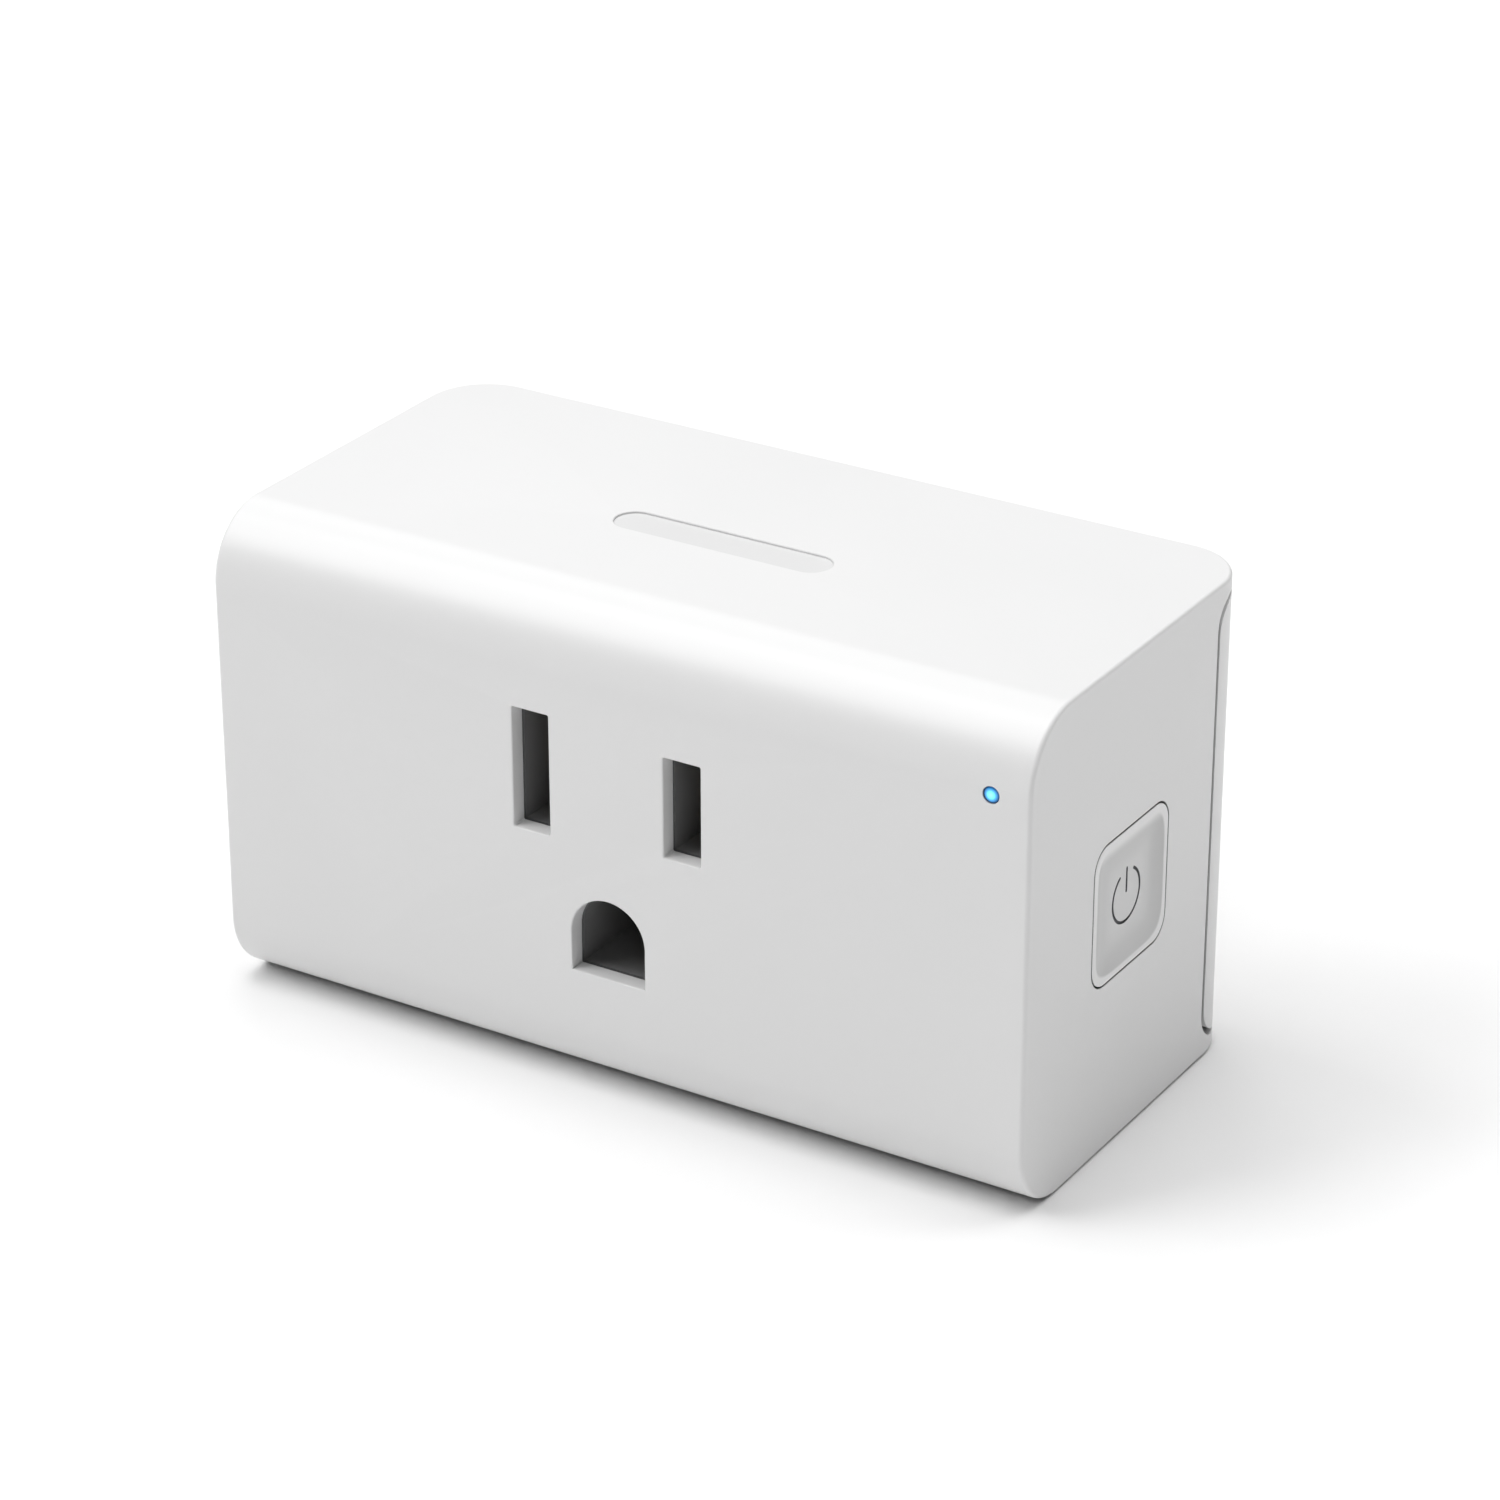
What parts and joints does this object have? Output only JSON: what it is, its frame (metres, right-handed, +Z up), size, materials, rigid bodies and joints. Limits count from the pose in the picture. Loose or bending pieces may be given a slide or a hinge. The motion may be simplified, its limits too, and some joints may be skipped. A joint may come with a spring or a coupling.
{
  "type": "smart plug",
  "caption": "Plug-in mains adapter: a white casing with a three-pin socket in front, blades behind, a relay and wireless control inside, a side power button and an indicator.",
  "frame": {"origin": "centre of the flat underside of the casing", "axes": "+X along the width towards the power button, +Y towards the wall with the blades, +Z up with the slots above the earth hole"},
  "size_m": [0.068, 0.0536, 0.0382],
  "materials": {
    "casing_white": "satin moulded plastic",
    "button_white": "satin moulded plastic",
    "contact_block_grey": "dark grey heat-resistant plastic",
    "black_plastic": "black moulded plastic",
    "relay_blue": "blue relay case plastic",
    "blue_lens": "clear light pipe, lit blue",
    "contact_brass": "stamped brass strip",
    "nickel_blade": "nickel-plated brass",
    "board_green": "green soldermask on glass-fibre board",
    "module_blue": "dark blue soldermask",
    "tin_steel": "tinned sheet steel",
    "coil_copper": "enamelled copper wire and copper strip",
    "capacitor_sleeve": "printed-free shrink sleeve over an aluminium can",
    "film_yellow": "yellow epoxy-filled box",
    "varistor_blue": "dipped epoxy coating",
    "resistor_green": "cement coating",
    "ferrite_grey": "shrink sleeve over a ferrite drum"
  },
  "bodies": {
    "housing": {"back_cover": "casing_white", "board_header": "black_plastic", "contact_retainer": "contact_block_grey", "control_board": "board_green", "converter_chip": "black_plastic", "cover_screw_1": "tin_steel", "cover_screw_2": "tin_steel", "cover_screw_3": "tin_steel", "cover_screw_4": "tin_steel", "filter_capacitor": "capacitor_sleeve", "filter_inductor": "ferrite_grey", "front_shell": "casing_white", "fuse_resistor": "resistor_green", "ground_contact": "contact_brass", "ground_pin": "nickel_blade", "ground_strap": "contact_brass", "indicator_led": "blue_lens", "input_capacitor": "capacitor_sleeve", "light_pipe": "blue_lens", "line_blade": "nickel_blade", "line_contact": "contact_brass", "neutral_blade": "nickel_blade", "neutral_contact": "contact_brass", "output_capacitor": "capacitor_sleeve", "power_board": "board_green", "receptacle_block": "contact_block_grey", "rectifier": "black_plastic", "regulator_chip": "black_plastic", "relay_base": "black_plastic", "relay_bobbin": "black_plastic", "relay_case": "relay_blue", "relay_coil": "coil_copper", "relay_common_terminal": "coil_copper", "relay_fixed_contact": "coil_copper", "relay_yoke": "tin_steel", "retainer_screw_1": "tin_steel", "retainer_screw_2": "tin_steel", "safety_capacitor": "film_yellow", "surge_varistor": "varistor_blue", "switch_body": "black_plastic", "switch_cover": "tin_steel", "switch_dome": "tin_steel", "wifi_module_board": "module_blue", "wifi_shield_can": "tin_steel"},
    "button": {"power_button": "button_white"},
    "plunger": {"switch_plunger": "black_plastic"},
    "armature": {"relay_armature": "tin_steel"}
  },
  "joints": [
    {"name": "power_button_press", "type": "slide", "parent": "housing", "child": "button", "axis": [-1, 0, 0], "range_m": [0, 0.0005], "stiffness_N_per_m": 1000},
    {"name": "switch_plunger_press", "type": "slide", "parent": "housing", "child": "plunger", "axis": [-1, 0, 0], "range_m": [0, 0.00025]},
    {"name": "relay_armature_swing", "type": "hinge", "parent": "housing", "child": "armature", "pos_m": [0.0157, 0.0014, 0.0229], "axis": [1, 0, 0], "range_deg": [0, 6], "stiffness_Nm_per_rad": 0.015}
  ],
  "couplings": [
    {"joint": "switch_plunger_press", "follows": "power_button_press", "ratio": 0.5}
  ]
}
